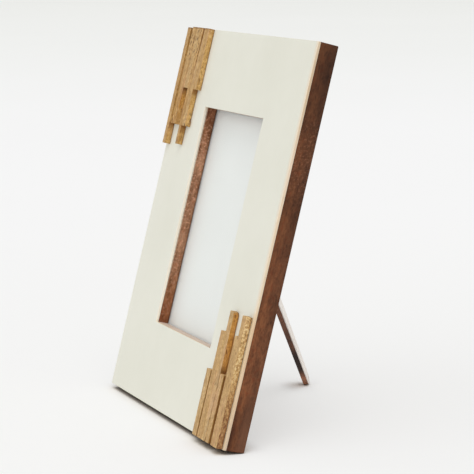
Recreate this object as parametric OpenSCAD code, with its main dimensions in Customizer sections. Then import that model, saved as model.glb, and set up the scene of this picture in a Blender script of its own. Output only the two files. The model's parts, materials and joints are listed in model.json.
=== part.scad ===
// Wooden picture frame that leans back on a folding easel leg, in millimetres.
// Every piece is drawn upright first: x to the right, y to the back, z up from the frame's bottom edge,
// with the frame's back face at y = 0. stand() then leans the whole frame back onto the floor.
// The origin is on the floor, in the middle of the space that the standing frame takes up.

/* [Frame] */
// Width of the frame
frame_w = 203.2; // [190:0.1:300]
// Height of the frame
frame_h = 254; // [240:0.1:340]
// Thickness of the wooden core behind the face panel
core_t = 12; // [9:0.1:20]
// Thickness of the painted face panel
panel_t = 2; // [1:0.1:4]
// How far the frame leans back from upright, in degrees
lean = 14.15; // [9:0.05:20]

/* [Window] */
// Width of the window
window_w = 96; // [60:0.1:104]
// Height of the window
window_h = 148; // [110:0.1:152]
// Height of the window's lower edge above the frame's bottom edge
window_up = 53.8; // [44:0.1:60]
// How far the lip behind the window holds the glass on each side
lip_w = 4; // [2:0.1:6]

/* [Filling] */
// Thickness of the glass
glass_t = 1.6; // [1:0.1:3]
// Thickness of the card behind the glass
card_t = 0.4; // [0.2:0.1:1]
// Thickness of the backing board
board_t = 2.8; // [2.6:0.1:4]
// Gap around the glass, the card and the board in their rebate
filling_gap = 0.5; // [0.1:0.1:0.9]

/* [All strips] */
// How far the strips stand out from the panel
strip_h = 4; // [2.5:0.1:8]
// Radius of the strips' front edges
strip_edge_r = 0.5; // [0.1:0.1:0.9]

/* [Upper strips] */
// Panel that shows between the frame's left edge and the first upper strip
upper_margin = 1.6; // [0.5:0.1:4]
// Width of the first upper strip
upper_1_w = 5.8; // [2:0.1:8]
// Length of the first upper strip
upper_1_len = 81.8; // [40:0.1:120]
// How far the first upper strip stands out from the panel
upper_1_h = 4.2; // [2:0.1:8]
// How far the first upper strip ends below the frame's top edge
upper_1_drop = 0.7; // [0:0.1:4]
// Gap between the first and the second upper strip
upper_2_gap = 2.4; // [0:0.1:5]
// Width of the second upper strip
upper_2_w = 7.6; // [2:0.1:10]
// Length of the second upper strip
upper_2_len = 68; // [40:0.1:120]
// Width of the third upper strip
upper_3_w = 7.4; // [2:0.1:10]
// Length of the third upper strip
upper_3_len = 42.4; // [20:0.1:120]
// Gap between the third and the fourth upper strip
upper_4_gap = 0.2; // [0:0.1:3]
// Width of the fourth upper strip
upper_4_w = 4.2; // [2:0.1:6]
// Length of the fourth upper strip
upper_4_len = 81; // [40:0.1:120]
// Width of the fifth upper strip
upper_5_w = 6.1; // [3.5:0.1:9]
// Length of the fifth upper strip
upper_5_len = 68; // [20:0.1:120]
// Width at the top of the wedge that is missing from the fifth upper strip's left side
upper_5_wedge_w = 2.4; // [0.5:0.1:3]
// Length of the wedge that is missing from the fifth upper strip's left side
upper_5_wedge_len = 32; // [10:0.1:60]
// Width of the sixth upper strip
upper_6_w = 5.2; // [2:0.1:8]
// Length of the sixth upper strip
upper_6_len = 42.4; // [20:0.1:120]

/* [Lower strips] */
// Width of the first lower strip
lower_1_w = 6.6; // [2:0.1:9]
// Length of the first lower strip
lower_1_len = 42.8; // [20:0.1:120]
// Gap between the first and the second lower strip
lower_2_gap = 1.3; // [0:0.1:3]
// Width of the second lower strip
lower_2_w = 7.3; // [2:0.1:9]
// Length of the second lower strip
lower_2_len = 68.6; // [20:0.1:120]
// Width of the third lower strip
lower_3_w = 6.1; // [4.5:0.1:8]
// Length of the third lower strip
lower_3_len = 82.4; // [20:0.1:120]
// Radius of the third lower strip's worn upper right corner
lower_3_corner_r = 3.6; // [1:0.1:4]
// Width of the fourth lower strip
lower_4_w = 5.5; // [2:0.1:9]
// Length of the fourth lower strip
lower_4_len = 43.4; // [20:0.1:120]
// Gap between the fourth and the fifth lower strip
lower_5_gap = 3.2; // [0:0.1:5]
// Width of the fifth lower strip
lower_5_w = 4.9; // [2:0.1:8]
// Length of the fifth lower strip
lower_5_len = 69.2; // [20:0.1:120]
// Width of the sixth lower strip
lower_6_w = 6.1; // [2:0.1:8]
// Length of the sixth lower strip
lower_6_len = 82.7; // [20:0.1:120]
// How far the sixth lower strip stands out from the panel
lower_6_h = 4.5; // [2:0.1:8]
// Panel that shows between the sixth lower strip and the frame's right edge
lower_margin = 1.7; // [0.5:0.1:4]

/* [Leg] */
// Width of the leg at its hinge
leg_top_w = 18; // [15:0.1:26]
// Width of the leg at its round foot
leg_foot_w = 12; // [8:0.1:14]
// Thickness of the leg's wooden core
leg_core_t = 3.3; // [2.6:0.1:6]
// Thickness of the pale layer on the leg's outer side
leg_face_t = 0.8; // [0.4:0.1:2]
// Angle that the leg stands out from the frame's back when it is open, in degrees
leg_open = 39; // [32:0.5:48]
// Angle that the leg is turned from straight down, in degrees
leg_swing = 44.3; // [30:0.1:46]
// Distance of the hinge's middle from the backing board's right edge
hinge_inset = 16.7; // [14.8:0.1:40]

/* [Hinge] */
// Length of the hinge along its pin
hinge_w = 14; // [12:0.1:15]
// Length of the middle knuckle along the pin
knuckle_w = 5.6; // [4:0.1:7]
// Outer radius of the knuckles
knuckle_r = 1.9; // [1.7:0.1:2.4]
// Thickness of the two leaves
leaf_t = 0.8; // [0.5:0.1:1]
// Radius of the hinge pin
pin_r = 0.8; // [0.5:0.1:1]
// Reach of the plate that is screwed to the backing board
plate_reach = 11.5; // [11:0.1:14]
// Reach of the flap that is screwed to the leg
flap_reach = 13; // [11:0.1:20]
// Reach of the tongue that stops the leg
tongue_reach = 5.5; // [4:0.1:6]

/* [Turn buttons] */
// Distance from the screw of a turn button to the middle of its round tip
button_reach = 12; // [9:0.1:16]
// Radius of a turn button around its screw
button_r = 4; // [3.2:0.1:5]
// Radius of a turn button's tip
button_tip_r = 3; // [2:0.1:3.1]
// Thickness of a turn button
button_t = 1.2; // [0.8:0.1:2]
// Distance from the rebate to the screw of a turn button
button_set = 7; // [5:0.1:8]

/* [Screws] */
// Radius of the shank of the leaves' screws
leaf_screw_r = 1; // [0.8:0.1:1.2]
// Radius of the countersunk head of the leaves' screws
leaf_screw_head_r = 1.9; // [1.5:0.1:2]
// How deep the leaves' screws go into the wood
leaf_screw_depth = 2.2; // [1:0.1:2.4]
// Radius of the shank of the turn buttons' screws
button_screw_r = 1.3; // [1:0.1:1.6]
// Radius of the domed head of the turn buttons' screws
button_screw_head_r = 2.7; // [2.2:0.1:3]
// Height of the domed head of the turn buttons' screws
button_screw_head_h = 1.4; // [0.8:0.1:2]
// How deep the turn buttons' screws go into the core
button_screw_depth = 6; // [3:0.1:8]

/* [Clearances] */
// Gap between pieces that move past each other
running_gap = 0.15; // [0.1:0.05:0.2]
// Radial clearance of a piece that turns on a pin or a screw
turning_fit = 0.06; // [0.02:0.01:0.1]
// Gap left between the stop tongue and the plate that it bears on
stop_gap = 0.05; // [0.02:0.01:0.1]
// Clearance around the leaves' screws
screw_fit = 0.05; // [0.02:0.01:0.1]

/* [Hidden] */
$fn = 48;
// Overlap that makes a cut run past the face that it leaves by
past = 1;

// Frame and rebate
frame_t = core_t + panel_t;
rebate_w = window_w + 2 * lip_w;
rebate_h = window_h + 2 * lip_w;
rebate_up = window_up - lip_w;
rebate_depth = glass_t + card_t + board_t;
filling_w = rebate_w - 2 * filling_gap;
filling_h = rebate_h - 2 * filling_gap;
filling_up = rebate_up + filling_gap;
board_mid = rebate_up + rebate_h / 2;

// Left sides of the upper strips, from left to right
upper_1_x = -frame_w / 2 + upper_margin;
upper_2_x = upper_1_x + upper_1_w + upper_2_gap;
upper_3_x = upper_2_x + upper_2_w;
upper_4_x = upper_3_x + upper_3_w + upper_4_gap;
upper_5_x = upper_4_x + upper_4_w;
upper_6_x = upper_5_x + upper_5_w;

// Left sides of the lower strips, counted back from the frame's right edge
lower_6_x = frame_w / 2 - lower_margin - lower_6_w;
lower_5_x = lower_6_x - lower_5_w;
lower_4_x = lower_5_x - lower_5_gap - lower_4_w;
lower_3_x = lower_4_x - lower_3_w;
lower_2_x = lower_3_x - lower_2_w;
lower_1_x = lower_2_x - lower_2_gap - lower_1_w;

// Leg hinge: the pin lies parallel to the frame's back, turned with the leg
hinge_right = filling_w / 2 - hinge_inset;
hinge_up = board_mid;
pin_out = knuckle_r + running_gap;
knuckle_side_w = (hinge_w - knuckle_w) / 2 - running_gap;
leaf_start = knuckle_r + 2 * running_gap;
leaf_corner_r = 1.5;
pin_head_r = pin_r + 0.5;
pin_head_t = 0.5;
screw_row = tongue_reach + leaf_screw_head_r + 0.6;
screw_side = hinge_w / 2 - leaf_screw_head_r - 1.2;

// Leg: its inner face lies on the flap, and its length puts the round foot on the floor.
// leg_fall, leg_rise and pin_fall are how far the floor comes nearer per millimetre along the leg,
// across its thickness and along its pin.
leg_inner = leaf_t - knuckle_r;
leg_outer = leg_inner + leg_core_t + leg_face_t;
foot_r = leg_foot_w / 2;
leg_fall = sin(leg_open) * sin(lean) + cos(leg_swing) * cos(leg_open) * cos(lean);
leg_rise = cos(leg_swing) * sin(leg_open) * cos(lean) - cos(leg_open) * sin(lean);
pin_fall = sin(leg_swing) * cos(lean);
pin_height = hinge_up * cos(lean) - pin_out * sin(lean);
inner_is_low = leg_rise > 0;
low_face = inner_is_low ? leg_inner : leg_outer;
leg_len = (pin_height + leg_rise * low_face - foot_r * norm([pin_fall, leg_fall])) / leg_fall;

// Depth of the standing frame, from the lower strips' front to the rearmost point of the foot
strips_out = max(strip_h, lower_6_h);
leg_back = sin(leg_open) * cos(lean) - cos(leg_swing) * cos(leg_open) * sin(lean);
face_back = cos(leg_open) * cos(lean) + cos(leg_swing) * sin(leg_open) * sin(lean);
pin_back = sin(leg_swing) * sin(lean);
rear_end = hinge_up * sin(lean) + pin_out * cos(lean)
    + leg_len * leg_back + leg_outer * face_back + foot_r * norm([pin_back, leg_back]);
front_end = -(frame_t + strips_out) * cos(lean);
stand_mid = (front_end + rear_end) / 2;

// Turn buttons
button_gap = running_gap;
button_side = rebate_w / 2 + button_set;
button_top_up = rebate_up + rebate_h + button_set;
button_bottom_up = rebate_up - button_set;
button_bottom_right = window_w / 4;
button_left_up = board_mid + window_h / 8;
button_right_up = board_mid - window_h / 4;
button_places = [
    [0, button_top_up, 0],
    [button_bottom_right, button_bottom_up, 180],
    [-button_side, button_left_up, -90],
    [button_side, button_right_up, 90]
];

// Leans the upright frame back about its rear bottom edge and centres it on the origin
module stand()
    translate([0, -stand_mid, 0])
        rotate([-lean, 0, 0])
            children();

// Hinge frame: x along the pin, y down the folded leg, z out of the frame's back
module at_hinge()
    translate([hinge_right, pin_out, hinge_up])
        rotate([0, leg_swing, 0])
            rotate([-90, 0, 0])
                children();

// Leg frame: the hinge frame opened about the pin
module at_leg()
    at_hinge()
        rotate([leg_open, 0, 0])
            children();

// Turn button frame: screw at the origin, tip towards +y, z out of the frame's back
module at_button(place)
    translate([place[0], button_gap, place[1]])
        rotate([0, place[2], 0])
            rotate([-90, 0, 0])
                children();

// Upright plate with its lower edge at a height, its back face at y = back and its middle at x = 0
module plate(w, t, h, back = 0, up = 0)
    translate([-w / 2, back - t, up])
        cube([w, t, h]);

module window_cut()
    plate(window_w, frame_t + 2 * past, window_h, back = past, up = window_up);

// Strip glued on the panel: its cross-section has two rounded front edges
module strip(x, up, w, len, h = strip_h)
    translate([x, -frame_t, up])
        linear_extrude(len) {
            translate([0, strip_edge_r - h])
                square([w, h - strip_edge_r]);
            translate([strip_edge_r, -h])
                square([w - 2 * strip_edge_r, strip_edge_r]);
            for (side = [strip_edge_r, w - strip_edge_r])
                translate([side, strip_edge_r - h])
                    circle(strip_edge_r);
        }

// Strip that hangs down from the frame's top edge
module hanging_strip(x, w, len, h = strip_h, drop = 0)
    strip(x, frame_h - drop - len, w, len, h);

// Round bar along the hinge's pin, centred on x
module pin_bar(r, w, x = 0)
    translate([x - w / 2, 0, 0])
        rotate([0, 90, 0])
            cylinder(h = w, r = r);

// Hinge leaf of a width and reach from y = 0, with two rounded far corners
module leaf(w, reach)
    linear_extrude(leaf_t) {
        translate([-w / 2, 0])
            square([w, reach - leaf_corner_r]);
        translate([leaf_corner_r - w / 2, 0])
            square([w - 2 * leaf_corner_r, reach]);
        for (side = [-1, 1])
            translate([side * (w / 2 - leaf_corner_r), reach - leaf_corner_r])
                circle(leaf_corner_r);
    }

// Countersunk screw along +z with its head's face at z = 0, grown by a clearance where it cuts a hole
module leaf_screw(grow = 0) {
    cylinder(h = leaf_t, r1 = leaf_screw_head_r + grow, r2 = leaf_screw_r + grow);
    translate([0, 0, leaf_t / 2])
        cylinder(h = leaf_t / 2 + leaf_screw_depth + grow, r = leaf_screw_r + grow);
}

module slotted_leaf_screw()
    difference() {
        leaf_screw();
        translate([-leaf_screw_head_r - past, -0.25, -past])
            cube([2 * (leaf_screw_head_r + past), 0.5, past + 0.35]);
    }

// The two screws of the plate, which point into the board
module at_plate_screws()
    for (side = [-1, 1])
        translate([side * screw_side, -screw_row, leaf_t - pin_out])
            rotate([180, 0, 0])
                children();

// The two screws of the flap, which point into the leg
module at_flap_screws()
    for (side = [-1, 1])
        translate([side * screw_side, screw_row, -knuckle_r])
            children();

// Outline of the leg: a tapered bar that ends in a round foot, both sides tangent to the foot
module leg_outline() {
    half = leg_top_w / 2;
    taper = acos(foot_r / norm([half, leg_len])) - atan2(leg_len, half);
    side_x = foot_r * cos(taper);
    side_y = leg_len + foot_r * sin(taper);
    polygon([[-half, leaf_start], [half, leaf_start], [side_x, side_y], [-side_x, side_y]]);
    translate([0, leg_len])
        circle(foot_r);
}

// Turn button: a bar that narrows to its round tip and turns on its screw
module turn_button() {
    taper = asin((button_r - button_tip_r) / button_reach);
    difference() {
        linear_extrude(button_t) {
            circle(button_r);
            translate([0, button_reach])
                circle(button_tip_r);
            polygon([
                for (side = [-1, 1]) side * [button_r * cos(taper), 0] + [0, button_r * sin(taper)],
                for (side = [1, -1])
                    side * [button_tip_r * cos(taper), 0] + [0, button_reach + button_tip_r * sin(taper)]
            ]);
        }
        translate([0, 0, -past])
            cylinder(h = button_t + 2 * past, r = button_screw_r + turning_fit);
    }
}

// Domed screw head with a slot, its flat underside at z = 0
module domed_head() {
    dome_r = (button_screw_head_r ^ 2 + button_screw_head_h ^ 2) / (2 * button_screw_head_h);
    difference() {
        intersection() {
            translate([0, 0, button_screw_head_h - dome_r])
                sphere(dome_r);
            cylinder(h = button_screw_head_h + past, r = button_screw_head_r);
        }
        translate([-button_screw_head_r, -0.35, button_screw_head_h - 0.6])
            cube([2 * button_screw_head_r, 0.7, past]);
    }
}

module core()
    color("saddlebrown") stand()
        difference() {
            plate(frame_w, core_t, frame_h);
            window_cut();
            plate(rebate_w, rebate_depth + past, rebate_h, back = past, up = rebate_up);
            for (place = button_places)
                translate([0, -button_gap, 0])
                    at_button(place)
                        translate([0, 0, -button_screw_depth])
                            cylinder(h = button_screw_depth + past, r = button_screw_r);
        }

module panel()
    color("antiquewhite") stand()
        difference() {
            plate(frame_w, panel_t, frame_h, back = -core_t);
            window_cut();
        }

module glass()
    color("lightcyan", 0.4) stand()
        plate(filling_w, glass_t, filling_h, back = -card_t - board_t, up = filling_up);

module card()
    color("white") stand()
        plate(filling_w, card_t, filling_h, back = -board_t, up = filling_up);

module backing_board()
    color("peru") stand()
        difference() {
            plate(filling_w, board_t, filling_h, up = filling_up);
            at_hinge()
                at_plate_screws()
                    leaf_screw(screw_fit);
        }

module upper_strip_1()
    color("tan") stand()
        hanging_strip(upper_1_x, upper_1_w, upper_1_len, upper_1_h, upper_1_drop);

module upper_strip_2()
    color("tan") stand()
        hanging_strip(upper_2_x, upper_2_w, upper_2_len);

module upper_strip_3()
    color("tan") stand()
        hanging_strip(upper_3_x, upper_3_w, upper_3_len);

module upper_strip_4()
    color("tan") stand()
        hanging_strip(upper_4_x, upper_4_w, upper_4_len);

// Cuts the wedge away that opens towards the top between the fourth and the fifth upper strip
module upper_5_wedge()
    translate([upper_5_x, -frame_t + past, frame_h])
        rotate([90, 0, 0])
            linear_extrude(strip_h + 2 * past)
                polygon([
                    [0, -upper_5_wedge_len],
                    [upper_5_wedge_w, 0],
                    [upper_5_wedge_w, past],
                    [-past, past],
                    [-past, -upper_5_wedge_len]
                ]);

module upper_strip_5()
    color("tan") stand()
        difference() {
            hanging_strip(upper_5_x, upper_5_w, upper_5_len);
            upper_5_wedge();
        }

module upper_strip_6()
    color("tan") stand()
        hanging_strip(upper_6_x, upper_6_w, upper_6_len);

module lower_strip_1()
    color("tan") stand()
        strip(lower_1_x, 0, lower_1_w, lower_1_len);

module lower_strip_2()
    color("tan") stand()
        strip(lower_2_x, 0, lower_2_w, lower_2_len);

// Cuts a strip's upper right corner round, seen from the front
module corner_cut(right, top, r)
    translate([right - r, -frame_t + past, top - r])
        rotate([90, 0, 0])
            linear_extrude(strip_h + 2 * past)
                difference() {
                    square(r + past);
                    circle(r);
                }

module lower_strip_3()
    color("tan") stand()
        difference() {
            strip(lower_3_x, 0, lower_3_w, lower_3_len);
            corner_cut(lower_3_x + lower_3_w, lower_3_len, lower_3_corner_r);
        }

module lower_strip_4()
    color("tan") stand()
        strip(lower_4_x, 0, lower_4_w, lower_4_len);

module lower_strip_5()
    color("tan") stand()
        strip(lower_5_x, 0, lower_5_w, lower_5_len);

module lower_strip_6()
    color("tan") stand()
        strip(lower_6_x, 0, lower_6_w, lower_6_len, lower_6_h);

// Fixed leaf with the two outer knuckles, flat on the backing board
module hinge_plate()
    color("goldenrod") stand() at_hinge()
        difference() {
            union() {
                translate([0, 0, -pin_out])
                    difference() {
                        rotate([0, 0, 180])
                            leaf(hinge_w, plate_reach);
                        translate([-knuckle_w / 2 - running_gap, -leaf_start, -past])
                            cube([knuckle_w + 2 * running_gap, leaf_start + past, leaf_t + 2 * past]);
                    }
                for (side = [-1, 1])
                    pin_bar(knuckle_r, knuckle_side_w, side * (hinge_w - knuckle_side_w) / 2);
            }
            pin_bar(pin_r, hinge_w + 2 * past);
            at_plate_screws()
                leaf_screw(screw_fit);
        }

module hinge_pin()
    color("silver") stand() at_hinge() {
        pin_bar(pin_r, hinge_w + 2 * pin_head_t);
        for (side = [-1, 1])
            pin_bar(pin_head_r, pin_head_t, side * (hinge_w + pin_head_t) / 2);
    }

module hinge_screws()
    color("gold") stand() at_hinge()
        at_plate_screws()
            slotted_leaf_screw();

// Moving leaf with the middle knuckle and the tongue that stops the open leg against the plate
module hinge_flap()
    color("goldenrod") stand() at_leg()
        difference() {
            union() {
                translate([0, 0, -knuckle_r])
                    intersection() {
                        leaf(hinge_w, flap_reach);
                        union() {
                            translate([-knuckle_w / 2, 0, 0])
                                cube([knuckle_w, flap_reach, leaf_t]);
                            translate([-hinge_w / 2, leaf_start, 0])
                                cube([hinge_w, flap_reach, leaf_t]);
                        }
                    }
                pin_bar(knuckle_r, knuckle_w);
                rotate([-leg_open, 0, 0])
                    translate([-knuckle_w / 2, -tongue_reach, leaf_t + stop_gap - pin_out])
                        cube([knuckle_w, tongue_reach, leaf_t]);
            }
            pin_bar(pin_r + turning_fit, knuckle_w + 2 * past);
            at_flap_screws()
                leaf_screw(screw_fit);
        }

module leg_core()
    color("sienna") stand() at_leg()
        difference() {
            translate([0, 0, leg_inner])
                linear_extrude(leg_core_t)
                    leg_outline();
            at_flap_screws()
                leaf_screw(screw_fit);
        }

module leg_face()
    color("antiquewhite") stand() at_leg()
        translate([0, 0, leg_inner + leg_core_t])
            linear_extrude(leg_face_t)
                leg_outline();

module leg_screws()
    color("gold") stand() at_leg()
        at_flap_screws()
            slotted_leaf_screw();

module button_top()
    color("goldenrod") stand() at_button(button_places[0])
        turn_button();

module button_bottom()
    color("goldenrod") stand() at_button(button_places[1])
        turn_button();

module button_left()
    color("goldenrod") stand() at_button(button_places[2])
        turn_button();

module button_right()
    color("goldenrod") stand() at_button(button_places[3])
        turn_button();

module button_screws()
    color("gold") stand()
        for (place = button_places)
            at_button(place) {
                translate([0, 0, -button_gap - button_screw_depth])
                    cylinder(h = button_screw_depth + 2 * button_gap + button_t, r = button_screw_r);
                translate([0, 0, button_t + button_gap])
                    domed_head();
            }

core();
panel();
glass();
card();
backing_board();
upper_strip_1();
upper_strip_2();
upper_strip_3();
upper_strip_4();
upper_strip_5();
upper_strip_6();
lower_strip_1();
lower_strip_2();
lower_strip_3();
lower_strip_4();
lower_strip_5();
lower_strip_6();
hinge_plate();
hinge_pin();
hinge_screws();
hinge_flap();
leg_core();
leg_face();
leg_screws();
button_top();
button_bottom();
button_left();
button_right();
button_screws();
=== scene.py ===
"""Wooden picture frame on a folding easel leg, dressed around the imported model.

Lengths are in metres. The frame's pieces are modelled upright and then leaned back onto the
floor: x to the right, y to the back with the frame's back face at 0, z up from its bottom edge.
The leg's are modelled on the hinge: x along the pin, y down the leg, z to its outer side.
"""
import json
from math import cos, pi, radians, sin

import bmesh
import bpy
from mathutils import Matrix, Vector

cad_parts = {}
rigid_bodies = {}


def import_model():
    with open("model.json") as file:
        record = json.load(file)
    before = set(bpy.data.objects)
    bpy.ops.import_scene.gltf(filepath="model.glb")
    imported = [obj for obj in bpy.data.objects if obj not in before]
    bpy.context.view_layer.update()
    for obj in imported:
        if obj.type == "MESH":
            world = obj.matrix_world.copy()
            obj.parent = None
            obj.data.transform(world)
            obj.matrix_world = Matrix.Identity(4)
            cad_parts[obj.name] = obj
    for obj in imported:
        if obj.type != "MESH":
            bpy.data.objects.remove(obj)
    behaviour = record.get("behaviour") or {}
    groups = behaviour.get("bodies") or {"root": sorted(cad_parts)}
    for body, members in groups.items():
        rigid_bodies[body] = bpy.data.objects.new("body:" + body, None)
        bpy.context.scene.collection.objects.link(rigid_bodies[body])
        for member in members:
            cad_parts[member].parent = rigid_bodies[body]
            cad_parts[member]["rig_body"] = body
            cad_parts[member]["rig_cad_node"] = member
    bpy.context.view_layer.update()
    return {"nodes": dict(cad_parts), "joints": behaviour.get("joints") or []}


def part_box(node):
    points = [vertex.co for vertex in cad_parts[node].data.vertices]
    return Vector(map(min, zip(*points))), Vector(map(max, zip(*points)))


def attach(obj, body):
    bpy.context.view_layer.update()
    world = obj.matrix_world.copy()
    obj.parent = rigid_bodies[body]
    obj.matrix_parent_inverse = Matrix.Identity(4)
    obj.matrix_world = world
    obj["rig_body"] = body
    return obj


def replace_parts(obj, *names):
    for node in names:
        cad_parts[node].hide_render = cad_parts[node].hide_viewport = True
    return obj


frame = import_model()

MM = 0.001
X, Y, Z = 0, 1, 2

# Frame and window
FRAME_W = 203.2 * MM
FRAME_H = 254 * MM
CORE_T = 12 * MM
PANEL_T = 2 * MM
FRAME_T = CORE_T + PANEL_T
LEAN = radians(14.15)
WINDOW_W = 96 * MM
WINDOW_H = 148 * MM
WINDOW_UP = 53.8 * MM
WINDOW_RIM = 0.6 * MM  # faces this near the window's outline belong to its walls
LIP_W = 4 * MM
REBATE_T = 4.8 * MM
GLASS_T = 1.6 * MM
FILLING_GAP = 0.5 * MM

# From what angle an edge counts as sharp, and how far each kind of piece has its edges rounded
SHARP = radians(35)
CORE_EDGE = 0.35 * MM
PANEL_EDGE = 0.45 * MM
OUTER_CORNER = 0.9 * MM
STRIP_EDGE = 0.35 * MM
LEG_EDGE = 0.25 * MM
BRASS_EDGE = 0.08 * MM
FLAP_EDGE = 0.04 * MM  # a wider rounding would fill its inner corners and touch the hinge plate
PIN_EDGE = 0.12 * MM
BUTTON_EDGE = 0.15 * MM
BOARD_EDGE = 0.2 * MM
GLASS_EDGE = 0.15 * MM

# Leg and hinge
LEG_TOP_W = 18 * MM
LEG_FOOT_W = 12 * MM
LEG_CORE_T = 3.3 * MM
LEG_FACE_T = 0.8 * MM
LEG_OPEN = radians(39)
LEG_SWING = radians(44.3)
KNUCKLE_R = 1.9 * MM
LEAF_T = 0.8 * MM
LEG_START = KNUCKLE_R + 0.3 * MM
LEG_INNER = LEAF_T - KNUCKLE_R
FOOT_ROUNDING = 0.985  # of the foot's half width, so that its two roundings don't quite meet

# Camera, from the photograph's perspective
CAMERA_AT = Vector((1187.77, -517.06, 311.62)) * MM
CAMERA_TURN = radians(66.967)
CAMERA_DOWN = radians(8.56)
CAMERA_LENS = 151.48
SENSOR_W = 36

# Studio: how bright the light is all round, how much of the floor's look is its own paper, and
# how far the shade on the floor reaches, close under the object and wide around it
WORLD_LIGHT = 0.6
BACKDROP = (232, 233, 228)
FLOOR_RADIUS = 25
LAMP_AWAY = 1.6
FLOOR_SHARE = 0.6
CONTACT_REACH = 17 * MM
WIDE_REACH = 100 * MM

# The upright frame's place on the floor: its rear bottom edge is the edge that it leans about
panel_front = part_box("panel")[0].y
rear_edge = panel_front + FRAME_T * cos(LEAN)
STAND = Matrix.Translation((0, rear_edge, 0)) @ Matrix.Rotation(-LEAN, 4, "X")
joint_at = {joint["name"]: Vector(joint["pos_m"]) for joint in frame["joints"]}
HINGE = (
    Matrix.Translation(joint_at["leg_fold"])
    @ Matrix.Rotation(-LEAN, 4, "X")
    @ Matrix.Rotation(LEG_SWING, 4, "Y")
    @ Matrix.Rotation(-pi / 2, 4, "X")
)
LEG = HINGE @ Matrix.Rotation(LEG_OPEN, 4, "X")


# Modelling by hand


def deselect():
    """Leaves edit mode and selects nothing."""
    if bpy.context.object and bpy.context.object.mode != "OBJECT":
        bpy.ops.object.mode_set(mode="OBJECT")
    bpy.ops.object.select_all(action="DESELECT")


def use(piece):
    """Makes this piece the only selected and the active one."""
    deselect()
    piece.select_set(True)
    bpy.context.view_layer.objects.active = piece


def edit(piece):
    use(piece)
    bpy.ops.object.mode_set(mode="EDIT")


def settle(piece, matrix):
    """Moves a finished piece to its place, and puts that place into its mesh."""
    use(piece)
    piece.matrix_world = matrix @ piece.matrix_world
    bpy.ops.object.transform_apply(location=True, rotation=True, scale=True)


def block(name, low, high):
    """A cube primitive stretched between two corners, to be shaped further."""
    deselect()
    low, high = Vector(low), Vector(high)
    bpy.ops.mesh.primitive_cube_add(size=1, location=(low + high) / 2, scale=high - low)
    piece = bpy.context.object
    piece.name = name
    bpy.ops.object.transform_apply(location=True, rotation=True, scale=True)
    return piece


def pick(kind, test):
    """In edit mode, selects the faces, edges or vertices that pass the test."""
    mesh = bmesh.from_edit_mesh(bpy.context.object.data)
    bpy.ops.mesh.select_all(action="DESELECT")
    bpy.ops.mesh.select_mode(type=kind)
    parts = {"FACE": mesh.faces, "EDGE": mesh.edges, "VERT": mesh.verts}[kind]
    for part in parts:
        if test(part):
            part.select_set(True)
    bmesh.update_edit_mesh(bpy.context.object.data)


def runs_along(axis):
    """A test for edges that run along an axis."""
    def test(edge):
        run = edge.verts[1].co - edge.verts[0].co
        return abs(run[axis]) > 0.9 * run.length
    return test


def middle(face):
    return face.calc_center_median()


def middle_of(edge):
    return (edge.verts[0].co + edge.verts[1].co) / 2


def weld(within=0.01 * MM):
    """In edit mode, merges points that lie this close together."""
    bpy.ops.mesh.select_all(action="SELECT")
    bpy.ops.mesh.remove_doubles(threshold=within)


def cut_across(piece, axis, spacing):
    """Cuts a block into even slices across an axis, so that it can take small dents."""
    edit(piece)
    pick("EDGE", runs_along(axis))
    places = [vertex.co[axis] for vertex in piece.data.vertices]
    slices = round((max(places) - min(places)) / spacing)
    bpy.ops.mesh.subdivide(number_cuts=max(1, slices - 1))
    deselect()


def apply_modifier(piece, kind, **values):
    use(piece)
    modifier = piece.modifiers.new(kind.lower(), kind)
    for name, value in values.items():
        setattr(modifier, name, value)
    bpy.ops.object.modifier_apply(modifier=modifier.name)


def soften(piece, width, segments=3, clamp=True):
    """Rounds the sharp edges of a piece and shades it by angle.

    With clamp, the shortest edge holds every rounding back, which would leave a piece with
    fine facets almost sharp.
    """
    apply_modifier(
        piece, "BEVEL", width=width, segments=segments,
        limit_method="ANGLE", angle_limit=SHARP, use_clamp_overlap=clamp,
    )
    bpy.ops.object.shade_smooth_by_angle(angle=SHARP)
    apply_modifier(piece, "WEIGHTED_NORMAL", weight=80, keep_sharp=True)


def roughen(piece, grain, depth, name):
    """Presses small hollows into a piece's faces, never past its size."""
    clouds = bpy.data.textures.new(name, "CLOUDS")
    clouds.noise_scale = grain
    clouds.noise_depth = 2
    apply_modifier(
        piece, "DISPLACE", texture=clouds, strength=depth, mid_level=1.0,
        texture_coords="LOCAL",
    )


def set_slots(piece, materials, choose):
    """Gives a piece its materials; choose names the slot of a face by its normal."""
    piece.data.materials.clear()
    for material in materials:
        piece.data.materials.append(material)
    for face in piece.data.polygons:
        face.material_index = choose(face.normal)


# Materials


def tone(red, green, blue):
    """A colour given as 0 to 255, as the shader wants it."""
    def linear(value):
        value = value / 255
        return value / 12.92 if value <= 0.04045 else ((value + 0.055) / 1.055) ** 2.4
    return (linear(red), linear(green), linear(blue), 1)


WHITE = tone(255, 255, 255)
WARMER = tone(234, 214, 174)
DUST = tone(205, 150, 122)
DUST_SHARE = 0.45

# The Mix node's sockets for colours; its sockets for other kinds have the same names
MIX_SHARE, MIX_FIRST, MIX_SECOND = 0, 6, 7
MIX_RESULT = 2


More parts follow.
